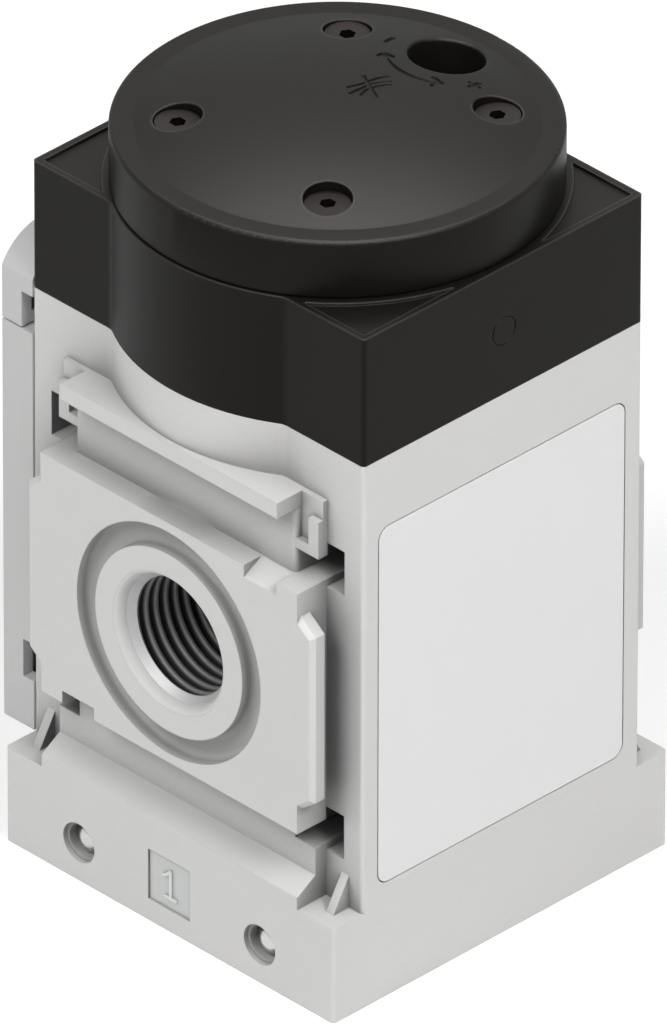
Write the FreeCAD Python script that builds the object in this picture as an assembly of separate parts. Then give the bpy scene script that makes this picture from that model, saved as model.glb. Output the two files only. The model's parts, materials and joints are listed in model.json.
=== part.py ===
import FreeCAD, Part
import math
import os

# Pneumatic soft-start valve, one module of a service unit row. Sizes in millimetres.
# +Z up, the row runs along Y, the inlet faces -Y, the outlet +Y and the label +X.
# The origin is the middle of the base's underside.

V = FreeCAD.Vector
ORIGIN = V(0, 0, 0)
ALONG_X = V(1, 0, 0)
ALONG_Y = V(0, 1, 0)
UP = V(0, 0, 1)

# Outside of the casting
unit_width = 62.0
port_reach = 5.35
base_height = 14.75
body_top = 84.5
edge_round = 0.6
root = 1.0
half_unit = unit_width / 2
half_depth = half_unit - port_reach
core_inset = 16.0
core_radius = half_unit - core_inset

# Port side: plate, ears, grooves and hooks, all set out from the port's axis
port_height = 45.4
plate_inset = 6.85
plate_half_width = half_unit - plate_inset
plate_half_height = 18.75
ear_inset = 4.05
ear_half_width = half_unit - ear_inset
ear_half_height = 12.85
ear_slope = 2.2
ear_thickness = 2.3
ear_chamfer = 0.7
rail_inset = 10.65
rail_half_width = half_unit - rail_inset
upper_wall_depth = 3.5
lower_wall_depth = 3.4
wall_round = 0.8
wall_overrun = 0.35
ledge_bottom = 28.7
ledge_thickness = 2.45
rail_lip = 1.9
rail_slope_rise = 2.1
rail_top = 22.45
key_width = 6.0
key_depth = 1.9
key_from = 14.15
key_run = 3.2
tab_width = 4.0
tab_depth = 0.8
hook_depth = 1.7
hook_bar = 1.5
hook_finger = 1.9
hook_drop = 6.1
hook_rise = 5.7
socket_width = 7.15
socket_gap = 5.7
socket_step = 1.15
socket_step_depth = 6.0
socket_depth = 13.0
rib_thickness = 1.4
rib_inset = 3.25
rib_offset = half_unit - rib_inset
rib_foot = 2.9
rib_height = 5.0

# Port bore and the face seal's groove
thread_major_radius = 10.48
thread_depth = 14.0
passage_radius = 9.0
seal_groove_outer = 17.3
seal_groove_inner = 13.85
seal_groove_depth = 2.35
seal_groove_round = 0.9

# Base front: duct plugs and number plate
plug_inset = 13.9
plug_offset = half_unit - plug_inset
plug_height = 5.95
duct_radius = 2.0
plug_radius = 2.5
plug_pocket_radius = 2.95
plug_pocket_depth = 0.7
plug_recess = 1.0
plug_length = 4.5
plug_dome = 1.6
number_side = 7.9
number_bottom = 3.35
number_recess = 0.8
number_thickness = 0.5
number_gap = 0.08

# Label panel on the front
label_front_margin = 2.7
label_back_margin = 3.0
label_low_margin = 3.15
label_top_margin = 10.8
label_from = label_front_margin - half_depth
label_to = half_depth - label_back_margin
label_bottom = base_height + label_low_margin
label_top = body_top - label_top_margin
label_round = 2.0
label_depth = 0.6
label_gap = 0.17

# Rear cover in two mouldings
cover_depth = 5.8
cover_wall = 1.8
cover_rise = 5.3
cover_top = body_top + cover_rise
cover_corner = 8.5
cover_corner_inset = 7.5
cover_top_height = 12.7
cover_split = cover_top - cover_top_height
cover_split_gap = 0.3
cover_seat_gap = 0.05
cover_foot_gap = 0.1
cover_notch_width = 2.1
cover_notch_depth = 3.0
upper_notch_height = 5.5
lower_notch_from = 22.5
lower_notch_height = 5.8

# Main valve: chambers, seat, guide
outlet_chamber_radius = 10.5
inlet_chamber_radius = core_radius
seat_radius = 8.5
seat_bottom = 29.0
seat_web = 6.0
seat_lip_height = 0.75
seat_lip_width = 1.0
riser_half_width = 13.0
riser_wall = 2.0
riser_depth = 4.5
riser_top = 40.0
scoop_bottom = 16.0
scoop_reach = 6.0
scoop_roof = 1.0
lift = 5.0
running_gap = 0.05
seat_gap = 0.05

# Stem guide
guide_radius = core_radius
guide_height = 9.0
guide_fit = 0.05
ring_height = 2.0
ring_groove_side = 0.1
guide_ring_depth = 1.8
stem_ring_depth = 1.6
stem_radius = 3.0
stem_end_radius = 2.5
nut_flats = 8.0
nut_height = 2.7

# Poppet and its spring
poppet_radius = 12.0
poppet_thickness = 5.2
poppet_boss_radius = 7.0
poppet_boss_height = 1.5
poppet_seal_inner = 7.0
poppet_seal_outer = 11.0
poppet_seal_thickness = 1.8
stem_thread_end = 0.5
spring_radius = 8.0
spring_wire = 0.75
spring_turns = 6
spring_steps = 14
spring_sides = 6
spring_end_gap = 0.05

# Bottom plug
plug_bore_radius = 14.0
bottom_plug_top = 13.0
plug_flange_radius = 16.0
plug_flange_height = 2.0
plug_well_radius = 9.2
plug_well_floor = 7.0
plug_ring_from = 8.6
key_hole_radius = 1.6
key_hole_offset = 8.0
key_hole_depth = 1.6

# Cap: skirt, drum and round top
skirt_height = 19.6
drum_inset = 0.7
drum_radius = half_unit - drum_inset
drum_reach = 11.0
drum_blend = 2.5
neck_inset = 1.4
neck_radius = half_unit - neck_inset
neck_height = 0.3
top_inset = 1.0
top_radius = half_unit - top_inset
top_height = 8.7
top_edge_round = 0.6
dome_inset = 4.2
dome_radius = half_unit - dome_inset
dome_rise = 3.0
lip_width = 1.1
panel_depth = 0.4
collar_radius = half_unit
gate_mark_radius = 2.2
gate_mark_line = 0.25
gate_mark_depth = 0.12

# Piston
piston_inset = 18.0
piston_bore_radius = half_unit - piston_inset
piston_bore_height = 20.5
piston_bore_top = body_top + piston_bore_height
piston_room = 2.0
piston_top = piston_bore_top - piston_room
piston_height = 9.0
piston_fit = 0.1
piston_recess_radius = 5.5
piston_recess_depth = 3.2
piston_hub = 2.0
piston_ring_drop = 4.0
piston_ring_from = piston_top - piston_ring_drop
piston_ring_height = 2.2
piston_ring_depth = 2.2
band_drop = 7.6
band_from = piston_top - band_drop
band_height = 2.0
band_depth = 0.9

# Cover screws, M4 with low heads
screw_side_inset = 17.0
screw_along_inset = 15.45
screw_side = half_unit - screw_side_inset
screw_along = half_unit - screw_along_inset
screw_radius = 2.0
screw_length = 35.0
screw_head_radius = 3.1
screw_head_height = 2.8
screw_head_recess = 0.8
screw_key_flats = 2.0
screw_key_depth = 1.5
screw_pocket_radius = 3.3
screw_hole_gap = 0.2
screw_thread_gap = 0.05
screw_hole_spare = 2.0

# Throttle in the cap
throttle_pocket_radius = 5.15
throttle_land = 1.6
throttle_offset = dome_radius - throttle_pocket_radius - throttle_land
throttle_pocket_height = 20.0
throttle_pocket_floor = body_top + throttle_pocket_height
throttle_pocket_round = 0.35
throttle_screw_radius = 4.0
throttle_screw_drop = 6.8
throttle_screw_bottom = throttle_pocket_floor - throttle_screw_drop
throttle_screw_height = 6.5
throttle_key_flats = 4.0
throttle_key_depth = 3.0
throttle_bottom_wall = 1.0
needle_radius = 3.5
needle_length = 7.7
needle_bottom = throttle_screw_bottom - needle_length
needle_ring_rise = 1.5
needle_ring_from = needle_bottom + needle_ring_rise
needle_ring_height = 1.8
needle_ring_depth = 1.2
needle_tip_radius = 2.4
needle_point_radius = 1.1
needle_point_length = 2.9
needle_pin_radius = 2.0
needle_pin_gap = 0.1
orifice_radius = 1.6
orifice_length = 3.3
chamber_floor_gap = 0.6
clip_from = 1.0
clip_height = 0.6
clip_inner_depth = 0.5
clip_outer_depth = 0.6
clip_slack = 0.05

# Pilot ducts
duct_margin = 22.0
duct_inset = half_unit - duct_margin
cross_duct_radius = 1.5
inlet_cross_height = 20.0
outlet_cross_drop = 22.5
outlet_cross_height = body_top - outlet_cross_drop
bleed_cross_drop = 18.5
bleed_cross_height = body_top - bleed_cross_drop
cap_cross_rise = 5.2
cap_cross_height = body_top + cap_cross_rise
piston_cross_radius = 0.9
duct_seal_outer = 3.6
duct_seal_height = 1.2
duct_seal_recess = 1.1

# Heights and reaches that follow from the sizes above
port_plane = -half_unit
body_plane = -half_depth
ledge_low = port_height + ledge_bottom
ledge_high = ledge_low + ledge_thickness
plate_low = port_height - plate_half_height
plate_high = port_height + plate_half_height
rail_high = port_height - rail_top
socket_outer = rail_half_width + socket_width
seat_top = seat_bottom + seat_web
seat_edge = seat_bottom - seat_lip_height
guide_bottom = body_top - guide_height
skirt_top = body_top + skirt_height
top_face = skirt_top + top_height
poppet_top = seat_edge - seat_gap
poppet_bottom = poppet_top - poppet_thickness
dome_sphere = (dome_radius ** 2 + dome_rise ** 2) / (2 * dome_rise)
screw_reach = math.hypot(screw_side, screw_along)
needle_bore = needle_radius + running_gap


def block(x, y, z):
    """Box between three pairs of limits."""
    size = [pair[1] - pair[0] for pair in (x, y, z)]
    return Part.makeBox(size[0], size[1], size[2], V(x[0], y[0], z[0]))


def disc(radius, z, at=(0.0, 0.0)):
    """Upright cylinder between two heights."""
    return Part.makeCylinder(radius, z[1] - z[0], V(at[0], at[1], z[0]), UP)


def ring(outer, inner, z, at=(0.0, 0.0)):
    """Upright ring of rectangular section."""
    return disc(outer, z, at).cut(disc(inner, (z[0] - root, z[1] + root), at))


def bore_along_y(radius, y, x, z):
    """Lying cylinder between two places along Y."""
    return Part.makeCylinder(radius, y[1] - y[0], V(x, y[0], z), ALONG_Y)


def rod(radius, start, end):
    """Cylinder from one point to another."""
    way = V(*end) - V(*start)
    return Part.makeCylinder(radius, way.Length, V(*start), way)


def filled(points):
    """Flat face inside a closed line of points."""
    return Part.Face(Part.makePolygon(points + [points[0]]))


def prism_along_x(points, x):
    """Outline of (y, z) points carried from one x to another."""
    return filled([V(x[0], y, z) for y, z in points]).extrude(V(x[1] - x[0], 0, 0))


def prism_along_y(points, y):
    """Outline of (x, z) points carried from one y to another."""
    return filled([V(x, y[0], z) for x, z in points]).extrude(V(0, y[1] - y[0], 0))


def hexagon(flats, z, at=(0.0, 0.0)):
    """Upright hexagonal bar, measured across its flats."""
    corner = flats / (2 * math.cos(math.radians(30)))
    angles = [math.radians(60 * step) for step in range(6)]
    points = [V(at[0] + corner * math.cos(a), at[1] + corner * math.sin(a), z[0]) for a in angles]
    return filled(points).extrude(V(0, 0, z[1] - z[0]))


def edges_where(shape, wanted):
    """Edges whose two end points both pass a test."""
    return [edge for edge in shape.Edges
            if len(edge.Vertexes) == 2 and all(wanted(v.Point) for v in edge.Vertexes)]


def upright_edges(shape, wanted=lambda point: True):
    """Straight edges along Z that pass a test."""
    return [edge for edge in edges_where(shape, wanted)
            if abs(edge.Vertexes[0].Z - edge.Vertexes[1].Z) > root / 2
            and math.hypot(edge.Vertexes[0].X - edge.Vertexes[1].X,
                           edge.Vertexes[0].Y - edge.Vertexes[1].Y) < root / 100]


def rounded_block(x, y, z, radius):
    """Box with its four upright edges rounded."""
    shape = block(x, y, z)
    return shape.makeFillet(radius, upright_edges(shape))


def near(value, target):
    """True where two lengths are the same."""
    return abs(value - target) < root / 1000


def both_sides(shape):
    """A form and its mirror image at the module's other edge."""
    return [shape, shape.mirror(ORIGIN, ALONG_X)]


def both_ports(shapes):
    """Forms of the inlet side and their mirror images at the outlet side."""
    return shapes + [shape.mirror(ORIGIN, ALONG_Y) for shape in shapes]


def drum_segment(z):
    """Round bulge of the drum beyond the body's flat face, inlet side."""
    reach = (-drum_radius, -drum_radius + drum_reach)
    return disc(drum_radius, z).common(block((-drum_radius, drum_radius), reach, z))


def blended_drum(shape, z):
    """Body with the drum's bulge on both port sides, and a fillet in the inside corners."""
    shape = shape.fuse(both_ports([drum_segment(z)]))
    side = math.sqrt(drum_radius ** 2 - half_depth ** 2)
    corners = upright_edges(shape, lambda p: near(abs(p.x), side) and near(abs(p.y), half_depth))
    return shape.makeFillet(drum_blend, corners)


def screw_places():
    """Centres of the four cover screws."""
    return [(screw_side * i, screw_along * j) for i in (-1, 1) for j in (-1, 1)]


def plate():
    """Flange round the port, without its ears."""
    return block((-plate_half_width, plate_half_width), (port_plane, body_plane + root),
                 (plate_low, plate_high))


def ear():
    """Ear at the flange's +X edge that a clamp grips from behind."""
    low = port_height - ear_half_height
    high = port_height + ear_half_height
    inside = plate_half_width - root
    outline = [(inside, low - ear_slope), (plate_half_width, low - ear_slope), (ear_half_width, low),
               (ear_half_width, high), (plate_half_width, high + ear_slope), (inside, high + ear_slope)]
    shape = prism_along_y(outline, (port_plane, port_plane + ear_thickness))
    rim = edges_where(shape, lambda p: near(p.y, port_plane) and p.x > plate_half_width - root / 2)
    return shape.makeChamfer(ear_chamfer, rim)


def upper_wall():
    """Back wall of the groove above the port."""
    shape = block((-rail_half_width - wall_overrun, rail_half_width),
                  (port_plane + upper_wall_depth, body_plane + root), (plate_high - root, ledge_low + root))
    front = upright_edges(shape, lambda p: near(p.y, port_plane + upper_wall_depth) and p.x > 0)
    return shape.makeFillet(wall_round, front)


def ledge():
    """Lip over the upper groove."""
    return block((-rail_half_width, rail_half_width), (port_plane, body_plane + root),
                 (ledge_low, ledge_high))


def hook():
    """Open hook and the tab behind it, at the ledge's +X end."""
    outer = rail_half_width + tab_width
    tab = block((rail_half_width - root, outer), (body_plane - tab_depth, body_plane + root),
                (ledge_low - hook_drop + hook_bar / 2, ledge_high))
    low = ledge_low - hook_drop
    bar = block((rail_half_width - root, outer), (body_plane - hook_depth, body_plane + root),
                (low, low + hook_bar))
    finger = block((outer - hook_finger, outer), (body_plane - hook_depth, body_plane + root),
                   (low, low + hook_rise))
    return tab.fuse([bar, finger])


def lower_rail():
    """Sloped lip that rises from the base below the port, with the wall behind its groove."""
    foot = base_height - root
    lip = base_height + rail_lip
    wall = port_plane + lower_wall_depth
    inside = body_plane + root
    profile = [(port_plane, foot), (port_plane, lip), (wall, lip + rail_slope_rise),
               (wall, rail_high), (inside, rail_high), (inside, foot)]
    lip_solid = prism_along_x(profile, (-plate_half_width, plate_half_width))
    wall_solid = block((-rail_half_width, rail_half_width), (wall, inside),
                       (rail_high - root, plate_low + root))
    return lip_solid.fuse(wall_solid)


def corner_rib():
    """Gusset on the base beside the lower rail."""
    x = (rib_offset - rib_thickness / 2, rib_offset + rib_thickness / 2)
    foot = base_height - root
    inside = body_plane + root
    points = [(body_plane - rib_foot, foot), (body_plane - rib_foot, base_height),
              (body_plane, base_height + rib_height), (inside, base_height + rib_height), (inside, foot)]
    return prism_along_x(points, x)


def key_notches():
    """Two notches in the flange's edge that key one module to the next."""
    slope = [(port_plane - root, plate_high + root), (port_plane - root, plate_high - key_depth),
             (port_plane, plate_high - key_depth), (port_plane + key_run, plate_high),
             (port_plane + key_run, plate_high + root)]
    top = prism_along_x(slope, (key_from, key_from + key_width))
    bottom = block((-key_from - key_width, -key_from), (port_plane - root, port_plane + lower_wall_depth),
                   (plate_low - root, plate_low + key_depth))
    return [top, bottom]


def clamp_sockets():
    """Pockets beside the grooves, at +X, where a clamp's fingers reach in."""
    shallow = (body_plane, body_plane + socket_step_depth)
    deep = (body_plane, body_plane + socket_depth)
    full = (rail_half_width, socket_outer)
    narrow = (plate_half_width, socket_outer)
    pockets = []
    for floor in (plate_high, rail_high):
        pockets.append(block(full, deep, (floor, floor + socket_gap)))
        pockets.append(block(narrow, shallow, (floor - socket_step, floor + root)))
    return pockets


def port_bore():
    """Threaded port, at its major radius, with the face seal's groove round it."""
    thread = bore_along_y(thread_major_radius, (port_plane - root, port_plane + thread_depth),
                          0, port_height)
    span = (port_plane - root, port_plane + seal_groove_depth)
    groove = bore_along_y(seal_groove_outer, span, 0, port_height)
    groove = groove.cut(bore_along_y(seal_groove_inner, (span[0] - root, span[1] + root), 0, port_height))
    floor = [edge for edge in groove.Edges if near(edge.CenterOfMass.y, span[1])]
    groove = groove.makeFillet(seal_groove_round, floor)
    return [thread, groove]


def plug_hole(x):
    """Drilled duct end in the base front that a steel plug closes."""
    pocket = bore_along_y(plug_pocket_radius, (port_plane - root, port_plane + plug_pocket_depth),
                          x, plug_height)
    seat = bore_along_y(plug_radius, (port_plane, port_plane + plug_pocket_depth + plug_length),
                        x, plug_height)
    return [pocket, seat]


def pilot_ducts():
    """Drilled ducts that carry inlet and outlet pressure past the chambers to the cap."""
    cuts = []
    for side, height, start in ((-1, inlet_cross_height, inlet_chamber_radius),
                                (1, outlet_cross_height, outlet_chamber_radius)):
        x = side * plug_offset
        cuts.append(bore_along_y(duct_radius, (port_plane + root, duct_inset), x, plug_height))
        cuts.append(disc(duct_radius, (plug_height - duct_radius, body_top + root), (x, duct_inset)))
        share = (start - root) / math.hypot(x, duct_inset)
        cuts.append(rod(cross_duct_radius, (x * share, duct_inset * share, height), (x, duct_inset, height)))
    cuts.append(disc(orifice_radius, (bleed_cross_height - orifice_radius, body_top + root), (0, throttle_offset)))
    cuts.append(rod(orifice_radius, (0, outlet_chamber_radius - root, bleed_cross_height),
                    (0, throttle_offset, bleed_cross_height)))
    return cuts


def number_recess_cut():
    """Square recess in the base front for a number plate."""
    half = number_side / 2
    return block((-half, half), (port_plane - root, port_plane + number_recess),
                 (number_bottom, number_bottom + number_side))


def main_bores():
    """Machined bores on the valve's axis and the cast inlet riser."""
    lip = ring(inlet_chamber_radius + root, seat_radius + seat_lip_width, (seat_edge, seat_bottom))
    riser_in = -(outlet_chamber_radius + riser_wall)
    riser_out = riser_in - riser_depth
    wide = (-riser_half_width, riser_half_width)
    return [
        disc(plug_flange_radius, (-root, plug_flange_height)),
        disc(plug_bore_radius, (0, bottom_plug_top)),
        disc(inlet_chamber_radius, (bottom_plug_top, seat_edge)),
        lip,
        disc(seat_radius, (seat_bottom - root, seat_top + root)),
        disc(outlet_chamber_radius, (seat_top, guide_bottom + root)),
        disc(guide_radius, (guide_bottom, body_top + root)),
        block(wide, (riser_out, riser_in), (scoop_bottom, riser_top)),
        block(wide, (riser_out, riser_in + scoop_reach), (scoop_bottom, seat_bottom - scoop_roof)),
        bore_along_y(passage_radius, (port_plane, riser_in), 0, port_height),
        bore_along_y(passage_radius, (outlet_chamber_radius - root, half_unit), 0, port_height),
    ]


def screw_threads():
    """Tapped holes for the cover screws, with a little depth to spare."""
    bottom = top_of_screw() - screw_head_height - screw_length - screw_hole_spare
    return [disc(screw_radius + screw_thread_gap, (bottom, body_top + root), at) for at in screw_places()]


def duct_seal_seats():
    """Counterbores for the small rings between body and cap."""
    z = (body_top - duct_seal_recess, body_top + root)
    return [disc(duct_seal_outer, z, at) for at in duct_places()]


def duct_places():
    """Centres of the three ducts that cross from body to cap."""
    return [(-plug_offset, duct_inset), (plug_offset, duct_inset), (0, throttle_offset)]


def top_of_screw():
    """Height of a cover screw's head, a little below the domed top."""
    return top_face + dome_rise - screw_reach ** 2 / (2 * dome_sphere) - screw_head_recess


def label_recess(gap, x):
    """Rounded rectangle on the front face, smaller all round by a gap."""
    shape = block(x, (label_from + gap, label_to - gap), (label_bottom + gap, label_top - gap))
    corners = [edge for edge in shape.Edges if near(edge.Vertexes[0].Y, edge.Vertexes[1].Y)
               and near(edge.Vertexes[0].Z, edge.Vertexes[1].Z)]
    return shape.makeFillet(label_round - gap, corners)


def housing():
    """Die-cast body and base in one piece."""
    side = [plate(), upper_wall(), ledge(), lower_rail()]
    for form in (ear(), hook(), corner_rib()):
        side += both_sides(form)
    base = rounded_block((-half_unit, half_unit), (-half_unit, half_unit), (0, base_height), edge_round)
    body = rounded_block((-half_unit, half_unit), (-half_depth, half_depth),
                         (base_height - root, body_top), edge_round)
    shape = blended_drum(body, (ledge_high, body_top)).fuse([base] + both_ports(side))
    cuts = port_bore() + key_notches() + [number_recess_cut()]
    for pocket in clamp_sockets():
        cuts += both_sides(pocket)
    cuts = both_ports(cuts)
    for x in (-plug_offset, plug_offset):
        cuts += plug_hole(x)
    cuts += main_bores() + screw_threads() + pilot_ducts() + duct_seal_seats()
    cuts.append(label_recess(0, (half_unit - label_depth, half_unit + root)))
    return shape.cut(cuts).removeSplitter()


def duct_plugs():
    """Pressed steel plugs with domed fronts, one in each duct end."""
    front = port_plane + plug_recess
    back = port_plane + plug_pocket_depth + plug_length
    shoulder = front + plug_dome
    radius = plug_radius - running_gap / 2
    arc = Part.Arc(V(0, front, 0), V(radius * math.sin(math.pi / 4),
                                    shoulder - plug_dome * math.cos(math.pi / 4), 0),
                   V(radius, shoulder, 0)).toShape()
    line = Part.makePolygon([V(radius, shoulder, 0), V(radius, back, 0), V(0, back, 0), V(0, front, 0)])
    turned = Part.Face(Part.Wire([arc] + line.Edges)).revolve(ORIGIN, ALONG_Y, 360)
    return Part.makeCompound([turned.translated(V(x, 0, plug_height)) for x in (-plug_offset, plug_offset)])


def number_plate():
    """Square insert for the port's number, inlet side."""
    half = number_side / 2 - number_gap
    floor = port_plane + number_recess
    return block((-half, half), (floor - number_thickness, floor),
                 (number_bottom + number_gap, number_bottom + number_side - number_gap))


def label_plate():
    """Blank label insert on the front."""
    return label_recess(label_gap, (half_unit - label_depth, half_unit))


def cover_outline(inset):
    """Side outline of the rear cover, with its two round top corners."""
    side = half_depth - inset
    top = cover_top - inset
    radius = cover_corner - inset
    middle_y = half_depth - cover_corner_inset
    middle_z = cover_top - cover_corner
    meet = middle_z + math.sqrt(radius ** 2 - (side - middle_y) ** 2)
    foot = base_height + cover_foot_gap + inset
    turn = (math.atan2(meet - middle_z, side - middle_y) + math.pi / 2) / 2
    bend = (middle_y + radius * math.cos(turn), middle_z + radius * math.sin(turn))
    right = Part.Arc(V(0, side, meet), V(0, bend[0], bend[1]), V(0, middle_y, top)).toShape()
    left = Part.Arc(V(0, -middle_y, top), V(0, -bend[0], bend[1]), V(0, -side, meet)).toShape()
    over = Part.makeLine(V(0, middle_y, top), V(0, -middle_y, top))
    rest = Part.makePolygon([V(0, -side, meet), V(0, -side, foot), V(0, side, foot), V(0, side, meet)])
    return Part.Face(Part.Wire([right, over, left] + rest.Edges))


def rear_cover_half(z):
    """One moulding of the rear cover: an open shell between two heights."""
    back = -half_unit - cover_depth
    seat = -half_unit - cover_seat_gap
    outside = cover_outline(0).translated(V(back, 0, 0)).extrude(V(seat - back, 0, 0))
    inside = cover_outline(cover_wall).translated(V(back + cover_wall, 0, 0))
    inside = inside.extrude(V(cover_depth, 0, 0))
    wide = (-unit_width, unit_width)
    hollow = inside.common(block(wide, wide, (z[0] + cover_wall, z[1] - cover_wall)))
    return outside.common(block(wide, wide, z)).cut(hollow)


def cover_notch(z):
    """Lever notch in the rear cover's two sides."""
    x = (-half_unit - cover_notch_width, -half_unit + root)
    cut = block(x, (-half_depth - root, -half_depth + cover_notch_depth), z)
    return both_ports([cut])


def rear_cover():
    """Lower moulding of the rear cover."""
    shape = rear_cover_half((base_height, cover_split - cover_split_gap / 2))
    return shape.cut(cover_notch((lower_notch_from, lower_notch_from + lower_notch_height)))


def rear_cover_top():
    """Upper moulding of the rear cover."""
    low = cover_split + cover_split_gap / 2
    return rear_cover_half((low, cover_top)).cut(cover_notch((low - root, low + upper_notch_height)))


def round_top():
    """Round top of the cap: neck, rim with a rounded edge, flat border and shallow dome."""
    low = skirt_top + neck_height
    rim = disc(top_radius, (low, top_face))
    rim = rim.makeFillet(top_edge_round, [edge for edge in rim.Edges if near(edge.CenterOfMass.z, top_face)])
    ball = Part.makeSphere(dome_sphere).rotated(ORIGIN, ALONG_X, 90)
    ball = ball.translated(V(0, 0, top_face + dome_rise - dome_sphere))
    dome = disc(dome_radius, (top_face - root, top_face + root + dome_rise)).common(ball)
    return disc(neck_radius, (skirt_top - root, low + root)).fuse([rim, dome])


def corner_panels():
    """Sunk panels in the four corners of the skirt's top, inside a lip."""
    inside = block((-half_unit + lip_width, half_unit - lip_width),
                   (-half_depth + lip_width, half_depth - lip_width),
                   (skirt_top - panel_depth, skirt_top + root))
    return inside.cut(disc(collar_radius, (skirt_top - root, skirt_top + top_height)))


def gate_mark():
    """Fine ring left by the mould on the cap's front."""
    depth = (half_unit - gate_mark_depth, half_unit + root)
    middle = (body_top + skirt_top) / 2
    outer = Part.makeCylinder(gate_mark_radius, depth[1] - depth[0], V(depth[0], 0, middle), ALONG_X)
    inner = Part.makeCylinder(gate_mark_radius - gate_mark_line, depth[1] - depth[0],
                              V(depth[0], 0, middle), ALONG_X)
    return outer.cut(inner)


def throttle_bores():
    """Pocket, thread, needle chamber and orifice of the throttle."""
    at = (0, throttle_offset)
    chamber = needle_bottom - chamber_floor_gap
    return [
        disc(throttle_screw_radius + running_gap,
             (throttle_screw_bottom - chamber_floor_gap / 2, throttle_pocket_floor + root), at),
        disc(needle_bore, (body_top + orifice_length, throttle_screw_bottom), at),
        disc(orifice_radius, (body_top - root, chamber), at),
    ]


def cap_ducts():
    """Ducts inside the cap: inlet pressure to the needle, outlet pressure to the piston."""
    inlet = (-plug_offset, duct_inset)
    outlet = (plug_offset, duct_inset)
    over_piston = (piston_top + piston_bore_top) / 2
    share = (piston_bore_radius - root) / math.hypot(plug_offset, duct_inset)
    return [
        disc(duct_radius, (body_top - root, cap_cross_height + cross_duct_radius), inlet),
        rod(cross_duct_radius, (inlet[0], inlet[1], cap_cross_height), (0, throttle_offset, cap_cross_height)),
        disc(duct_radius, (body_top - root, over_piston + cross_duct_radius), outlet),
        rod(piston_cross_radius, (outlet[0] * share, outlet[1] * share, over_piston),
            (outlet[0], outlet[1], over_piston)),
    ]


def cap():
    """Moulded cap: square skirt, drum and round top, with the piston's cylinder inside."""
    skirt = rounded_block((-half_unit, half_unit), (-half_depth, half_depth), (body_top, skirt_top), edge_round)
    shape = blended_drum(skirt, (body_top, skirt_top)).cut([corner_panels(), gate_mark()])
    shape = shape.fuse(round_top())
    pocket = disc(throttle_pocket_radius, (throttle_pocket_floor, top_face + top_height),
                  (0, throttle_offset))
    shape = shape.cut(pocket)
    behind = throttle_offset - throttle_pocket_radius - root
    rim = [edge for edge in shape.Edges if edge.BoundBox.ZMin > top_face and edge.BoundBox.YMin > behind]
    shape = shape.makeFillet(throttle_pocket_round, rim)
    cuts = [disc(piston_bore_radius, (body_top - root, piston_bore_top))]
    head_seat = top_of_screw() - screw_head_height
    for at in screw_places():
        cuts.append(disc(screw_radius + screw_hole_gap, (body_top - root, head_seat + root), at))
        cuts.append(disc(screw_pocket_radius, (head_seat, top_face + top_height), at))
    cuts += throttle_bores() + cap_ducts()
    return shape.cut(cuts).removeSplitter()


def cover_screw(at):
    """M4 screw with a low head and a hexagon socket."""
    top = top_of_screw()
    seat = top - screw_head_height
    head = disc(screw_head_radius, (seat, top), at)
    shank = disc(screw_radius, (seat - screw_length, seat + root), at)
    return head.fuse(shank).cut(hexagon(screw_key_flats, (top - screw_key_depth, top + root), at))


def cover_screws():
    """The four screws that hold the cap down."""
    return Part.makeCompound([cover_screw(at) for at in screw_places()])


def duct_seals():
    """Rubber rings round the ducts where the cap meets the body."""
    z = (body_top - duct_seal_recess, body_top)
    outer = duct_seal_outer - running_gap
    return Part.makeCompound([ring(outer, duct_radius, z, at) for at in duct_places()])


def stem_guide():
    """Turned disc between the outlet chamber and the piston's cylinder."""
    low = guide_bottom + (guide_height - ring_height) / 2 - ring_groove_side
    high = low + ring_height + 2 * ring_groove_side
    outer = guide_radius - guide_fit
    shape = disc(outer, (guide_bottom, body_top))
    cuts = [
        disc(stem_radius + running_gap, (guide_bottom - root, body_top + root)),
        ring(outer + root, outer - guide_ring_depth, (low, high)),
        disc(stem_radius + stem_ring_depth, (low, high)),
    ]
    return shape.cut(cuts)


def guide_oring():
    """Static seal between the stem guide and the body."""
    low = guide_bottom + (guide_height - ring_height) / 2
    return ring(guide_radius - running_gap / 2, guide_radius - guide_fit - guide_ring_depth,
                (low, low + ring_height))


def stem_oring():
    """Sliding seal between the stem guide and the stem."""
    low = guide_bottom + (guide_height - ring_height) / 2
    return ring(stem_radius + stem_ring_depth, stem_radius + running_gap, (low, low + ring_height))


def stem():
    """Turned stem that joins piston and poppet."""
    low_end = poppet_bottom - poppet_boss_height - nut_height - stem_thread_end
    shoulder = piston_top - piston_recess_depth - piston_hub
    high_end = piston_top - stem_thread_end
    poppet_shoulder = poppet_top - poppet_seal_thickness
    shape = disc(stem_radius, (poppet_shoulder, shoulder))
    return shape.fuse([disc(stem_end_radius, (low_end, poppet_shoulder + root)),
                       disc(stem_end_radius, (shoulder - root, high_end))])


def poppet():
    """Turned valve disc with a groove for its rubber face and a boss for the spring."""
    floor = poppet_top - poppet_seal_thickness
    shape = disc(poppet_radius, (poppet_bottom, poppet_top))
    shape = shape.fuse(disc(poppet_boss_radius, (poppet_bottom - poppet_boss_height, poppet_bottom + root)))
    low = poppet_bottom - poppet_boss_height - root
    cuts = [ring(poppet_seal_outer, poppet_seal_inner, (floor, poppet_top + root)),
            disc(stem_end_radius + running_gap, (low, poppet_top + root)),
            disc(stem_radius + running_gap, (floor, poppet_top + root))]
    return shape.cut(cuts)


def poppet_seal():
    """Rubber face of the poppet."""
    return ring(poppet_seal_outer, poppet_seal_inner, (poppet_top - poppet_seal_thickness, poppet_top))


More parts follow.
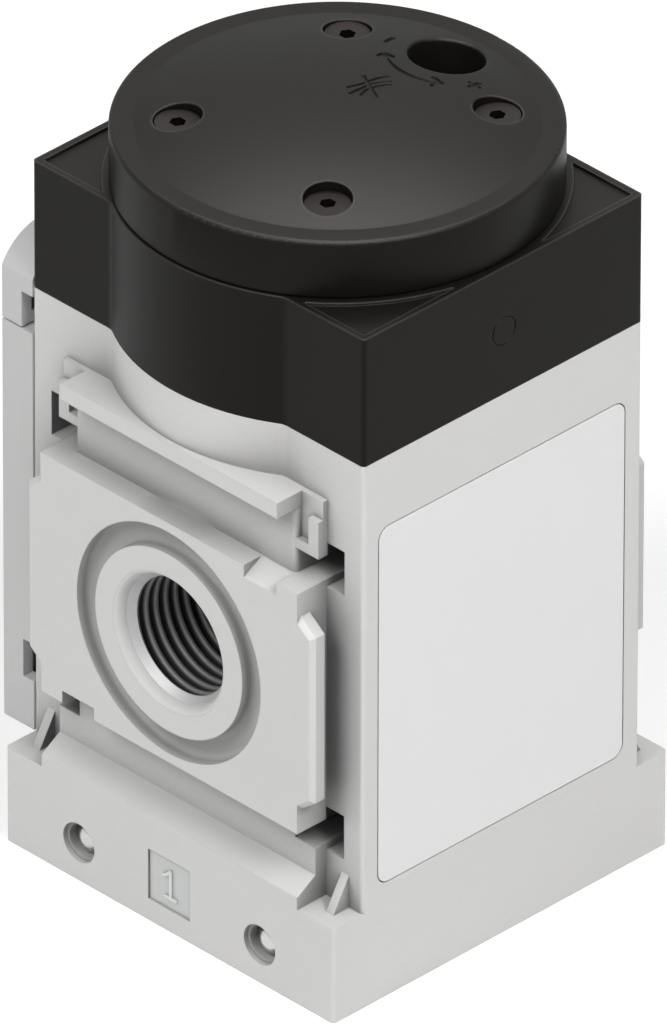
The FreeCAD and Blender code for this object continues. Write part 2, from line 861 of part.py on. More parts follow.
def hexagon_nut(bottom):
    """Thin hexagon nut on a stem end."""
    shape = hexagon(nut_flats, (bottom, bottom + nut_height))
    return shape.cut(disc(stem_end_radius + running_gap, (bottom - root, bottom + nut_height + root)))


def poppet_nut():
    """Nut below the poppet."""
    return hexagon_nut(poppet_bottom - poppet_boss_height - nut_height)


def piston():
    """Moulded piston with a seal groove, a guide band groove and a recess for its nut."""
    low = piston_top - piston_height
    outer = piston_bore_radius - piston_fit
    recess = piston_top - piston_recess_depth
    shape = disc(outer, (low, piston_top))
    cuts = [
        disc(piston_recess_radius, (recess, piston_top + root)),
        disc(stem_end_radius + running_gap, (low - root, recess + root)),
        disc(stem_radius + running_gap, (low - root, recess - piston_hub)),
        ring(outer + root, outer - piston_ring_depth, (piston_ring_from, piston_ring_from + piston_ring_height)),
        ring(outer + root, outer - band_depth, (band_from, band_from + band_height)),
    ]
    return shape.cut(cuts)


def piston_seal():
    """Sliding seal in the piston's upper groove."""
    outer = piston_bore_radius - running_gap
    inner = piston_bore_radius - piston_fit - piston_ring_depth
    return ring(outer, inner, (piston_ring_from + ring_groove_side,
                               piston_ring_from + piston_ring_height - ring_groove_side))


def piston_band():
    """Guide band in the piston's lower groove."""
    outer = piston_bore_radius - running_gap
    inner = piston_bore_radius - piston_fit - band_depth
    return ring(outer, inner, (band_from + ring_groove_side / 2, band_from + band_height - ring_groove_side / 2))


def piston_nut():
    """Nut in the piston's recess."""
    return hexagon_nut(piston_top - piston_recess_depth)


def spring_line(turn, low, high):
    """Height of the spring's wire after a number of turns, with a closed turn at each end."""
    rise = (high - low - 2 * 2 * spring_wire) / (spring_turns - 2)
    closed = 2 * spring_wire
    if turn < 1:
        return low + closed * turn
    if turn > spring_turns - 1:
        return high - closed * (spring_turns - turn)
    return low + closed + rise * (turn - 1)


def poppet_spring():
    """Compression spring between bottom plug and poppet."""
    low = plug_well_floor + spring_wire + spring_end_gap
    high = poppet_bottom - spring_wire - spring_end_gap
    sections = []
    for step in range(spring_turns * spring_steps + 1):
        turn = step / spring_steps
        angle = 2 * math.pi * turn
        height = spring_line(turn, low, high)
        points = []
        for side in range(spring_sides + 1):
            around = 2 * math.pi * (side % spring_sides) / spring_sides + math.pi / 2
            reach = spring_radius + spring_wire * math.cos(around)
            points.append(V(reach * math.cos(angle), reach * math.sin(angle),
                            height + spring_wire * math.sin(around)))
        sections.append(Part.makePolygon(points))
    return Part.makeLoft(sections, True, True)


def bottom_plug():
    """Screwed plug that closes the inlet chamber and carries the spring."""
    outer = plug_bore_radius - running_gap
    shape = disc(outer, (0, bottom_plug_top))
    shape = shape.fuse(disc(plug_flange_radius - running_gap, (0, plug_flange_height)))
    low = plug_ring_from - ring_groove_side
    cuts = [disc(plug_well_radius, (plug_well_floor, bottom_plug_top + root)),
            ring(outer + root, outer - guide_ring_depth, (low, low + ring_height + 2 * ring_groove_side))]
    for side in (-1, 1):
        cuts.append(disc(key_hole_radius, (-root, key_hole_depth), (side * key_hole_offset, 0)))
    return shape.cut(cuts)


def plug_oring():
    """Seal of the bottom plug."""
    return ring(plug_bore_radius - running_gap / 2, plug_bore_radius - running_gap - guide_ring_depth,
                (plug_ring_from, plug_ring_from + ring_height))


def throttle_screw():
    """Adjusting screw, turned with a hexagon key from above."""
    at = (0, throttle_offset)
    top = throttle_screw_bottom + throttle_screw_height
    socket = top - throttle_key_depth
    clip_low = throttle_screw_bottom + clip_from
    shape = disc(throttle_screw_radius, (throttle_screw_bottom, top), at)
    cuts = [hexagon(throttle_key_flats, (socket, top + root), at),
            disc(needle_pin_radius + needle_pin_gap,
                 (throttle_screw_bottom - root, socket - throttle_bottom_wall), at),
            disc(needle_pin_radius + needle_pin_gap + clip_outer_depth,
                 (clip_low - clip_slack, clip_low + clip_height + clip_slack), at)]
    return shape.cut(cuts)


def throttle_needle():
    """Needle that slides without turning, held in the screw by a clip."""
    at = (0, throttle_offset)
    pin_top = throttle_screw_bottom + throttle_screw_height - throttle_key_depth - throttle_bottom_wall
    shoulder = throttle_screw_bottom - clip_slack
    body = disc(needle_radius, (needle_bottom, shoulder), at)
    pin = disc(needle_pin_radius, (shoulder - root, pin_top - needle_pin_gap), at)
    point = Part.makeCone(needle_point_radius, needle_tip_radius, needle_point_length,
                          V(0, throttle_offset, needle_bottom - needle_point_length), UP)
    groove = ring(needle_radius + root, needle_radius - needle_ring_depth,
                  (needle_ring_from - ring_groove_side,
                   needle_ring_from + needle_ring_height + ring_groove_side), at)
    clip_low = throttle_screw_bottom + clip_from
    clip_groove = ring(needle_pin_radius + root / 2, needle_pin_radius - clip_inner_depth,
                       (clip_low, clip_low + clip_height), at)
    return body.fuse([pin, point]).cut([groove, clip_groove])


def throttle_oring():
    """Sliding seal of the needle."""
    return ring(needle_bore - running_gap / 2, needle_radius - needle_ring_depth,
                (needle_ring_from, needle_ring_from + needle_ring_height), (0, throttle_offset))


def throttle_clip():
    """Open spring clip that lets the screw turn and lift the needle."""
    at = (0, throttle_offset)
    clip_low = throttle_screw_bottom + clip_from
    inner = needle_pin_radius - clip_inner_depth
    outer = needle_pin_radius + needle_pin_gap + clip_outer_depth - clip_slack
    shape = ring(outer, inner, (clip_low, clip_low + clip_height), at)
    slot = block((-inner / 2, inner / 2), (throttle_offset, throttle_offset + 2 * outer),
                 (clip_low - root, clip_low + clip_height + root))
    return shape.cut(slot)


nodes = {
    "housing": housing(),
    "cap": cap(),
    "cover_screws": cover_screws(),
    "duct_plugs": duct_plugs(),
    "duct_seals": duct_seals(),
    "label_plate": label_plate(),
    "inlet_number_plate": number_plate(),
    "outlet_number_plate": number_plate().mirror(ORIGIN, ALONG_Y),
    "rear_cover": rear_cover(),
    "rear_cover_top": rear_cover_top(),
    "stem_guide": stem_guide(),
    "guide_oring": guide_oring(),
    "stem_oring": stem_oring(),
    "bottom_plug": bottom_plug(),
    "plug_oring": plug_oring(),
    "piston": piston(),
    "piston_seal": piston_seal(),
    "piston_band": piston_band(),
    "piston_nut": piston_nut(),
    "stem": stem(),
    "poppet": poppet(),
    "poppet_seal": poppet_seal(),
    "poppet_nut": poppet_nut(),
    "poppet_spring": poppet_spring(),
    "throttle_screw": throttle_screw(),
    "throttle_needle": throttle_needle(),
    "throttle_oring": throttle_oring(),
    "throttle_clip": throttle_clip(),
}

os.makedirs("parts", exist_ok=True)
for name, shape in nodes.items():
    shape.exportStep("parts/" + name + ".step")
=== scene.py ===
import json
import math

import bmesh
import bpy
from mathutils import Euler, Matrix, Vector


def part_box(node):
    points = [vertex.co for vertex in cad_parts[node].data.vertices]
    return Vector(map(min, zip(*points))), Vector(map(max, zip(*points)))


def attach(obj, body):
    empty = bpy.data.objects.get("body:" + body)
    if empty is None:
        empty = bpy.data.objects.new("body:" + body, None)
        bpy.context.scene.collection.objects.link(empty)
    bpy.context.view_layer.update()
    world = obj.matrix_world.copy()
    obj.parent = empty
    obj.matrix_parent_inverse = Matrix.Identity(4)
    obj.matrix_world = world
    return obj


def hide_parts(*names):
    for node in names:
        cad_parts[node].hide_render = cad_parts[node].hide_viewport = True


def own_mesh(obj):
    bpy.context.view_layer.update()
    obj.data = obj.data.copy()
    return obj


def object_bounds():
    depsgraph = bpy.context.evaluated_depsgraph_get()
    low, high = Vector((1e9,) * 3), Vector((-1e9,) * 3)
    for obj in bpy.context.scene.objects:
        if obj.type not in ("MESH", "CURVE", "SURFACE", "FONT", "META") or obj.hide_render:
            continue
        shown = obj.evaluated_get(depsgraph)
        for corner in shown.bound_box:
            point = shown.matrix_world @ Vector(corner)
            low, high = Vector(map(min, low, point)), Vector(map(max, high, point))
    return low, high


# Pneumatic soft-start valve. Lengths are in metres, in the frame of the solids: +Z up,
# the inlet faces -Y, the label faces +X, and the base stands on the floor at Z = 0.
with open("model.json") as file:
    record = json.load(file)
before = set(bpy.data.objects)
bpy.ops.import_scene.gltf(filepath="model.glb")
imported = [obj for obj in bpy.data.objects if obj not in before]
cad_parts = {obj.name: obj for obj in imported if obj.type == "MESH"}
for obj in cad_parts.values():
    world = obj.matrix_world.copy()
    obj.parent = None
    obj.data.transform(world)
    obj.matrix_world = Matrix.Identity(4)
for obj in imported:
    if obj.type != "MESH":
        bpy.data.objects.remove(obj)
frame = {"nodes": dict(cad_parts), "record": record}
solid_low, solid_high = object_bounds()

mm = 0.001
merge_reach = 0.0005 * mm

# The photograph's camera
image_width = 667
image_height = 1024
aim = Vector((0, 0, 58 * mm))
camera_azimuth = math.radians(45.443)
camera_elevation = math.radians(32.665)
camera_roll = math.radians(0.105)
camera_distance = 4.1
focal_pixels = 31122.0
aim_pixel = (336.94, 473.38)
sensor_width = 36.0

# Places of the ports and of the cap's round top, which the finishes refer to as well
mount_places = {mount["name"]: Vector(mount["pos_m"]) for mount in frame["record"]["mounts"]}
port_height = mount_places["inlet_face"].z
port_plane = mount_places["inlet_face"].y
port_bore = 10.48 * mm
thread_crest = 8.58 * mm
seal_groove_end = (19 * mm, 20 * mm)
dome_top = solid_high[2]
dome_radius = 26.8 * mm
dome_rim_heights = (dome_top - 5 * mm, dome_top - 4 * mm)
symbols_middle = (0.3 * mm, 11.5 * mm)
symbols_reach = 10.8 * mm


def make_camera():
    """Camera at the photograph's viewing angle and framing."""
    data = bpy.data.cameras.new("photo_camera")
    camera = bpy.data.objects.new("photo_camera", data)
    bpy.context.scene.collection.objects.link(camera)
    flat = math.cos(camera_elevation)
    across = math.sin(camera_azimuth) * flat
    along = -math.cos(camera_azimuth) * flat
    back = Vector((across, along, math.sin(camera_elevation)))
    turn = back.to_track_quat("Z", "Y").to_matrix().to_4x4()
    roll = Euler((0, 0, camera_roll)).to_matrix().to_4x4()
    camera.matrix_world = turn @ roll
    camera.location = aim + camera_distance * back
    data.sensor_fit = "AUTO"
    data.sensor_width = sensor_width
    data.lens = focal_pixels * sensor_width / image_height
    data.shift_x = (image_width / 2 - aim_pixel[0]) / image_height
    data.shift_y = (aim_pixel[1] - image_height / 2) / image_height
    bpy.context.scene.camera = camera


class Socket:
    """One output in a node tree. Arithmetic on it adds Math nodes."""

    def __init__(self, tree, output):
        self.tree = tree
        self.output = output

    def _math(self, operation, first, second):
        return self.tree.node("ShaderNodeMath", {"operation": operation}, {0: first, 1: second})

    def __add__(self, other):
        return self._math("ADD", self, other)

    __radd__ = __add__

    def __sub__(self, other):
        return self._math("SUBTRACT", self, other)

    def __rsub__(self, other):
        return self._math("SUBTRACT", other, self)

    def __mul__(self, other):
        return self._math("MULTIPLY", self, other)

    __rmul__ = __mul__

    def __pow__(self, other):
        return self._math("POWER", self, other)


class Tree:
    """A material's or the world's nodes."""

    def __init__(self, owner):
        owner.use_nodes = True
        self.nodes = owner.node_tree.nodes
        self.links = owner.node_tree.links
        self.nodes.clear()

    def node(self, kind, settings=None, sockets=None, output=0):
        """Adds a node: its settings first, then the values or links of its sockets."""
        node = self.nodes.new(kind)
        for name, value in (settings or {}).items():
            setattr(node, name, value)
        for name, value in (sockets or {}).items():
            target = self._pick(node.inputs, name)
            if isinstance(value, Socket):
                self.links.new(value.output, target)
            else:
                target.default_value = value
        if not node.outputs:
            return None
        return Socket(self, self._pick(node.outputs, output))

    def _pick(self, sockets, name):
        if isinstance(name, int):
            return sockets[name]
        return next(s for s in sockets if name in (s.identifier, s.name) and s.enabled)

    def place(self):
        """Object coordinates in metres."""
        return self.node("ShaderNodeTexCoord", output="Object")

    def along(self, axis, vector):
        """One coordinate of a vector."""
        return self.node("ShaderNodeSeparateXYZ", None, {"Vector": vector}, axis)

    def noise(self, scale, detail=2.0, roughness=0.5):
        """Cloudy noise. Its scale is in waves per metre."""
        sockets = {"Vector": self.place(), "Scale": scale, "Detail": detail, "Roughness": roughness}
        return self.node("ShaderNodeTexNoise", None, sockets)

    def blend(self, factor, first, second):
        """Colour between two others."""
        sockets = {"Factor_Float": factor, "A_Color": first, "B_Color": second}
        return self.node("ShaderNodeMix", {"data_type": "RGBA"}, sockets, "Result_Color")

    def ramp(self, factor, low, high):
        """0 below low, 1 above high, straight between."""
        sockets = {"Value": factor, "From Min": low, "From Max": high}
        return self.node("ShaderNodeMapRange", {"clamp": True}, sockets)

    def bump(self, height, distance, strength, edge=None):
        """Bumps on the surface, whose edges look rounded to a radius where one is given."""
        sockets = {"Height": height, "Distance": distance, "Strength": strength}
        if edge is not None:
            sockets["Normal"] = self.node("ShaderNodeBevel", {"samples": 4}, {"Radius": edge})
        return self.node("ShaderNodeBump", None, sockets)

    def openness(self, distance, alone=True):
        """1 on open faces, falling towards 0 in narrow recesses, of the same piece alone or of all: the
        mask for painted shade.
        """
        settings = {"samples": 6, "only_local": alone}
        return self.node("ShaderNodeAmbientOcclusion", settings, {"Distance": distance}, "AO")

    def upper_edge(self, radius):
        """1 on outward edges that face upwards, falling to 0 within a radius."""
        settings = {"samples": 16, "only_local": True, "inside": True}
        solid_share = self.node("ShaderNodeAmbientOcclusion", settings, {"Distance": radius}, "AO")
        rounded = self.node("ShaderNodeBevel", {"samples": 6}, {"Radius": radius})
        return self.ramp(1 - solid_share, 0.04, 0.36) * self.ramp(self.along("Z", rounded), 0.1, 0.5)

    def facing_up(self):
        """1 on faces that look up, 0 on walls and undersides."""
        normal = self.node("ShaderNodeNewGeometry", output="Normal")
        return self.ramp(self.along("Z", normal), 0.0, 1.0)

    def away_from(self, x, y, reach):
        """0 within a reach of an upright line at x and y, and 1 a little beyond it."""
        steps = (("SUBTRACT", (x, y, 0)), ("MULTIPLY", (1, 1, 0)))
        offset = self.place()
        for operation, by in steps:
            offset = self.node("ShaderNodeVectorMath", {"operation": operation}, {0: offset, 1: by})
        length = self.node("ShaderNodeVectorMath", {"operation": "LENGTH"}, {0: offset}, "Value")
        return self.ramp(length, reach, reach + 0.4 * mm)

    def from_port_axis(self):
        """Distance from the axis of the ports, which runs along Y."""
        apart = self.along("X", self.place())
        above = self.along("Z", self.place()) - port_height
        return (apart * apart + above * above) ** 0.5

    def finish(self, **sockets):
        """Principled shader to the output."""
        names = {name.replace("_", " "): value for name, value in sockets.items()}
        shader = self.node("ShaderNodeBsdfPrincipled", None, names)
        self.node("ShaderNodeOutputMaterial", None, {"Surface": shader})


def grey(level, tint=(1.0, 1.0, 1.0)):
    """Colour from a level and a tint, with full alpha."""
    return (level * tint[0], level * tint[1], level * tint[2], 1.0)


def new_material(name):
    """New material and its nodes."""
    material = bpy.data.materials.new(name)
    return material, Tree(material)


def cast_coating(name):
    """Fine matt grey coating on a die casting, with painted shade beside walls and in recesses outside
    the ports.
    """
    coat_tint = (1.0, 0.994, 0.985)
    painted_shade_reach = 12 * mm
    material, tree = new_material(name)
    patches = tree.noise(45.0, 3.0)
    speckle = tree.noise(2600.0)
    base = tree.blend(patches, grey(0.595, (1.0, 0.992, 0.982)), grey(0.62, coat_tint))
    coated = tree.blend(tree.ramp(speckle, 0.35, 0.75) * 0.10, base, grey(0.48))
    distance = tree.from_port_axis()
    outside = tree.ramp(distance, port_bore + 0.1 * mm, port_bore + 0.6 * mm)
    beyond = tree.ramp(distance, *seal_groove_end)
    # Beyond the seal groove the painted shade of a recess is stronger on walls and weaker on what faces
    # upwards
    painted_shade_weight = 1 + beyond * (1.3 - 1.8 * tree.facing_up())
    share_free_of_painted_shade = 1 - outside * (1 - tree.openness(painted_shade_reach) ** painted_shade_weight)
    # Painted shade: the colour falls towards a dark grey in recesses and beside walls
    colour = tree.blend(share_free_of_painted_shade, grey(0.16, coat_tint), coated)
    edge = 0.02 * mm + 0.26 * mm * outside
    normal = tree.bump(tree.noise(1500.0, 3.0, 0.6), 0.03 * mm, 0.35, edge)
    tree.finish(Base_Color=colour, Roughness=0.55 + 0.08 * speckle, Normal=normal, IOR=1.45)
    return material


def painted_edge_highlight(tree, radius):
    """Share of the painted highlight along the cap's upper edges: full on the top's rim, weaker
    elsewhere, none about the symbols.
    """
    rim_share = 0.7
    off_dome = tree.away_from(0, 0, dome_radius)
    top_rim = off_dome * tree.ramp(tree.along("Z", tree.place()), *dome_rim_heights)
    share = (1 - rim_share) * tree.away_from(*symbols_middle, symbols_reach) + rim_share * top_rim
    return tree.upper_edge(radius) * share


def grained_plastic(name, level, tint, roughness, grain, depth, cloud=0.08, edge=None, shine=0.5,
                    corner=None, rim=None):
    """Moulded plastic: spark-eroded grain, slight clouds, and maybe painted shade in inner corners and a
    painted highlight on upper edges.

    Cloud is the share by which the level varies, and edge the radius of the edges. Corner is how far the
    painted shade of inner corners reaches, and rim the level of the painted highlight on upper edges."""
    material, tree = new_material(name)
    patches = tree.noise(60.0, 3.0)
    colour = tree.blend(patches, grey(level * (1 - cloud), tint), grey(level * (1 + cloud), tint))
    if corner is not None:
        # Painted shade: darker where this piece or others close in
        colour = tree.blend(tree.openness(corner, alone=False), grey(0.35 * level, tint), colour)
    if rim is not None:
        # Painted highlight: a light line along the upper edges
        colour = tree.blend(painted_edge_highlight(tree, 1.4 * edge), colour, grey(rim, tint))
    fine = tree.noise(grain, 2.0, 0.6)
    normal = tree.bump(fine, depth, 0.5, edge)
    tree.finish(Base_Color=colour, Roughness=roughness + 0.06 * fine, Normal=normal, IOR=1.5,
                Specular_IOR_Level=shine, Specular_Tint=grey(1.0, tint))
    return material


def metal(name, colour, roughness, grain, depth):
    """Machined or blackened metal with faint marks."""
    material, tree = new_material(name)
    marks = tree.noise(grain, 3.0, 0.6)
    lighter = tuple(min(1.0, 1.12 * c) for c in colour[:3]) + (1.0,)
    tree.finish(Base_Color=tree.blend(marks, colour, lighter), Metallic=1.0,
                Roughness=roughness + 0.12 * marks, Normal=tree.bump(marks, depth, 0.4))
    return material


def cut_thread(name):
    """Bare cut metal of the thread, with painted shade: light on the crests, dark in the valleys."""
    material, tree = new_material(name)
    marks = tree.noise(900.0, 3.0, 0.6)
    valley_shade = tree.ramp(tree.from_port_axis(), thread_crest + 0.1 * mm, thread_crest + 0.55 * mm)
    # Painted shade: darker towards the thread's valleys
    colour = tree.blend(valley_shade, grey(0.25, (1.0, 0.99, 0.98)), grey(0.04))
    tree.finish(Base_Color=colour, Metallic=1.0, Roughness=0.68 + 0.12 * marks,
                Normal=tree.bump(marks, 0.004 * mm, 0.4))
    return material


def rubber(name):
    """Smooth black rubber."""
    material, tree = new_material(name)
    fine = tree.noise(900.0, 3.0)
    tree.finish(Base_Color=tree.blend(fine, grey(0.012), grey(0.02)), Roughness=0.55 + 0.1 * fine,
                Normal=tree.bump(fine, 0.02 * mm, 0.4))
    return material


finishes = {
    "cast_body": cast_coating("cast_body"),
    # The cap's rim level is that of a painted highlight along its upper edges
    "cap_plastic": grained_plastic("cap_plastic", 0.0055, (1.0, 0.95, 0.88), roughness=0.37,
                                   grain=2400.0, depth=0.02 * mm, cloud=0.06, edge=0.32 * mm,
                                   shine=0.09, rim=0.10),
    "cover_plastic": grained_plastic("cover_plastic", 0.52, (1.0, 1.0, 0.995), roughness=0.5,
                                     grain=2000.0, depth=0.02 * mm, cloud=0.02, edge=0.25 * mm),
    "label_film": grained_plastic("label_film", 0.715, (1.0, 1.0, 0.998), roughness=0.45,
                                  grain=3000.0, depth=0.01 * mm, cloud=0.01, edge=0.1 * mm),
    # The corner reach gives the number plates and digits painted shade where they meet
    "number_film": grained_plastic("number_film", 0.56, (0.98, 1.0, 0.985), roughness=0.4,
                                   grain=3000.0, depth=0.01 * mm, cloud=0.02, edge=0.08 * mm,
                                   corner=0.9 * mm),
    # The raised digits are a lighter copy of the plate's finish: a painted highlight on their tops
    "raised_number": grained_plastic("raised_number", 0.68, (0.99, 1.0, 0.99), roughness=0.4,
                                     grain=3000.0, depth=0.01 * mm, cloud=0.02, edge=0.12 * mm,
                                     corner=0.8 * mm),
    "piston_plastic": grained_plastic("piston_plastic", 0.68, (1.0, 0.99, 0.92), roughness=0.4,
                                      grain=1500.0, depth=0.01 * mm),
    "band_plastic": grained_plastic("band_plastic", 0.07, (1.3, 0.9, 0.6), roughness=0.45,
                                    grain=1500.0, depth=0.01 * mm),
    "black_steel": metal("black_steel", grey(0.013, (1.0, 0.86, 0.82)), 0.42, 700.0, 0.01 * mm),
    "bright_steel": metal("bright_steel", grey(0.5, (1.0, 0.99, 0.98)), 0.2, 500.0, 0.01 * mm),
    "spring_steel": metal("spring_steel", grey(0.42), 0.3, 600.0, 0.01 * mm),
    "turned_aluminium": metal("turned_aluminium", grey(0.66), 0.3, 400.0, 0.01 * mm),
    "turned_brass": metal("turned_brass", (0.55, 0.38, 0.15, 1.0), 0.28, 400.0, 0.01 * mm),
    "seal_rubber": rubber("seal_rubber"),
    "cut_thread": cut_thread("cut_thread"),
    "cut_chamfer": metal("cut_chamfer", grey(0.44), 0.58, 900.0, 0.004 * mm),
}


def paint_solids():
    """Gives each solid the finish of its slot."""
    slots = {part["node"]: part["material_slot"] for part in frame["record"]["subparts"]}
    for name, solid in frame["nodes"].items():
        for place in solid.material_slots:
            place.material = finishes[slots[name]]


def choose(piece):
    """Makes a piece the active one and the only one selected."""
    bpy.ops.object.select_all(action="DESELECT")
    bpy.context.view_layer.objects.active = piece
    piece.select_set(True)


def edit(piece):
    """Opens a piece in edit mode."""
    choose(piece)
    bpy.ops.object.mode_set(mode="EDIT")


def leave():
    """Leaves edit mode."""
    bpy.ops.object.mode_set(mode="OBJECT")


def select_where(piece, kind, wanted):
    """Selects the edges or faces whose middle passes a test, and nothing else."""
    mesh = bmesh.from_edit_mesh(piece.data)
    bpy.ops.mesh.select_all(action="DESELECT")
    for part in getattr(mesh, kind):
        middle = sum((vertex.co for vertex in part.verts), Vector()) / len(part.verts)
        if wanted(middle):
            part.select_set(True)
    mesh.select_flush_mode()
    bmesh.update_edit_mesh(piece.data)


def modify(piece, kind, **settings):
    """Adds a modifier to a piece and applies it."""
    choose(piece)
    modifier = piece.modifiers.new(kind.lower(), kind)
    for name, value in settings.items():
        setattr(modifier, name, value)
    bpy.ops.object.modifier_apply(modifier=modifier.name)


def combine(piece, operation, other):
    """Joins another piece to a piece, cuts it away or keeps what they share, and removes the other."""
    modify(piece, "BOOLEAN", operation=operation, solver="EXACT", object=other)
    bpy.data.objects.remove(other)


def settle(piece):
    """Brings a piece's place into its mesh."""
    choose(piece)
    bpy.ops.object.transform_apply(location=True, rotation=True, scale=True)


def join(pieces):
    """Joins pieces into the first one."""
    choose(pieces[0])
    for piece in pieces[1:]:
        piece.select_set(True)
    bpy.ops.object.join()
    return pieces[0]


def finish_piece(piece, name, slot, finish=None, smooth=35.0):
    """Names a new piece, smooths it, paints it and lets it ride on the valve's body."""
    settle(piece)
    bpy.ops.object.shade_smooth_by_angle(angle=math.radians(smooth))
    piece.name = name
    piece.data.name = name
    piece.data.materials.clear()
    piece.data.materials.append(finishes[finish or slot])
    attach(piece, "valve_body")
    return piece


# Ports: rounded mouth, lead-in chamfer and thread, all inside the solid's plain bore
port_depth = 14.0 * mm
mouth_inset = 0.02 * mm
mouth_steps = 8
mouth_turn = math.radians(55)
neck_radius = 9.42 * mm
neck_depth = 1.5 * mm
neck_overlap = 0.2 * mm
chamfer_overlap = 0.1 * mm
thread_pitch = 1.814 * mm
thread_start = 2.55 * mm
thread_steps = 96
liner_wall = 0.04 * mm


def closed_loop(section, name):
    """Loop of edges in the XY plane, a section to be turned about the Y axis."""
    bpy.ops.object.select_all(action="DESELECT")
    bpy.ops.mesh.primitive_circle_add(vertices=len(section), radius=mm, fill_type="NOTHING")
    loop = bpy.context.object
    loop.name = name
    for vertex, (radius, along) in zip(loop.data.vertices, section):
        vertex.co = (radius, along, 0)
    return loop


def close_and_clean(piece, open_ends):
    """Merges doubles, fills open ends if there are any, and points the faces outwards."""
    edit(piece)
    bpy.ops.mesh.select_all(action="SELECT")
    bpy.ops.mesh.remove_doubles(threshold=merge_reach)
    if open_ends:
        bpy.ops.mesh.select_all(action="DESELECT")
        bpy.ops.mesh.select_mode(type="EDGE")
        bpy.ops.mesh.select_non_manifold(extend=False, use_wire=False, use_multi_face=False,
                                         use_non_contiguous=False, use_verts=False)
        bpy.ops.mesh.fill()
    bpy.ops.mesh.select_all(action="SELECT")
    bpy.ops.mesh.normals_make_consistent(inside=False)
    leave()


def turned(section, name):
    """Ring turned about the Y axis from a closed section."""
    ring = closed_loop(section, name)
    modify(ring, "SCREW", axis="Y", steps=thread_steps, render_steps=thread_steps)
    close_and_clean(ring, False)
    return ring


def place_in_port(piece, side):
    """Moves a piece from the Y axis to a port: side -1 is the inlet and 1 the outlet."""
    piece.rotation_euler = (0, 0, 0 if side < 0 else math.pi)
    piece.location = (0, side * abs(port_plane), port_height)
    settle(piece)
    return piece


def mouth(name, side):
    """Rounded mouth that leads from the port's face to the chamfer."""
    wall = port_bore - mouth_inset
    section = []
    for step in range(mouth_steps + 1):
        turn = mouth_turn * step / mouth_steps
        inward = math.sin(turn) / math.sin(mouth_turn)
        deeper = (1 - math.cos(turn)) / (1 - math.cos(mouth_turn))
        section.append((wall - (wall - neck_radius) * inward, neck_depth * deeper + mouth_inset))
    back = neck_depth + neck_overlap
    section += [(neck_radius, back), (wall, back)]
    return place_in_port(turned(section, name), side)


def lead_in(name, side):
    """Bright chamfer between the mouth and the thread."""
    back = thread_start + chamfer_overlap
    wall = port_bore - liner_wall / 4
    crest = thread_crest - liner_wall / 4
    section = [(wall, neck_depth), (neck_radius, neck_depth), (crest, thread_start), (crest, back),
               (wall, back)]
    return place_in_port(turned(section, name), side)


def thread_ridge():
    """Section of the thread's ridge: rounded crest, straight flanks, and foot on the bore."""
    foot = port_bore - liner_wall
    half = thread_pitch / 2
    # Half widths as shares of half the pitch, each with its drop from the crest in mm
    crest_round = ((0.46, 0.30), (0.36, 0.13), (0.20, 0.03), (0, 0))
    side = [(foot, -0.97 * half), (foot - 0.08 * mm, -0.90 * half)]
    side += [(thread_crest + drop * mm, -width * half) for width, drop in crest_round]
    return side + [(radius, -along) for radius, along in reversed(side[:-1])]


def port_thread(name, side):
    """Pipe thread in a port, on a thin liner over the bore."""
    ridge = closed_loop(thread_ridge(), name)
    turns = math.ceil(port_depth / thread_pitch) + 1
    modify(ridge, "SCREW", axis="Y", steps=thread_steps, render_steps=thread_steps,
           screw_offset=thread_pitch, iterations=turns)
    close_and_clean(ridge, True)
    front = thread_start + liner_wall / 2
    back = port_depth - liner_wall
    inside = thread_crest - thread_pitch / 4
    outside = port_bore + liner_wall
    space = turned([(outside, front), (inside, front), (inside, back), (outside, back)], name + "_space")
    combine(ridge, "INTERSECT", space)
    outer = port_bore - liner_wall / 4
    inner = port_bore - 2 * liner_wall
    liner = turned([(outer, front), (inner, front), (inner, back), (outer, back)], name + "_liner")
    return place_in_port(join([ridge, liner]), side)


def make_ports():
    """Mouths, chamfers and threads of both ports."""
    for port, side in (("inlet", -1), ("outlet", 1)):
        name = port + "_mouth"
        finish_piece(mouth(name, side), name, "cast_body")
        name = port + "_thread"
        finish_piece(port_thread(name, side), name, "cast_body", finish="cut_thread")
        name = port + "_lead_in"
        finish_piece(lead_in(name, side), name, "cast_body", finish="cut_chamfer", smooth=1.0)


# Symbols on the cap, with places and radii in mm: plus and minus beside the adjusting screw's
# hole, an arc with arrowheads between them, and a throttle
hole_place = (0.0, 20.05)
arc_radius = 8.25
arc_ends = (-129, -50)
arc_steps = 20

# Grooves of the symbols, and the round top that they are cut into
groove_wide = 0.72 * mm
groove_fine = 0.55 * mm
groove_depth = 0.24 * mm
groove_depth_step = 0.04
dome_sphere = 121.2 * mm
dome_grid = 1.6 * mm
dome_below_top = 3.4 * mm
sphere_tolerance = 0.02 * mm
border_tolerance = 0.08 * mm
border_strip = 0.3 * mm


def barb(end, shift, tip):
    """Line of an arrowhead, from beside the arc's end to its tip."""
    return [(end[0] + shift[0], end[1] + shift[1]), tip]


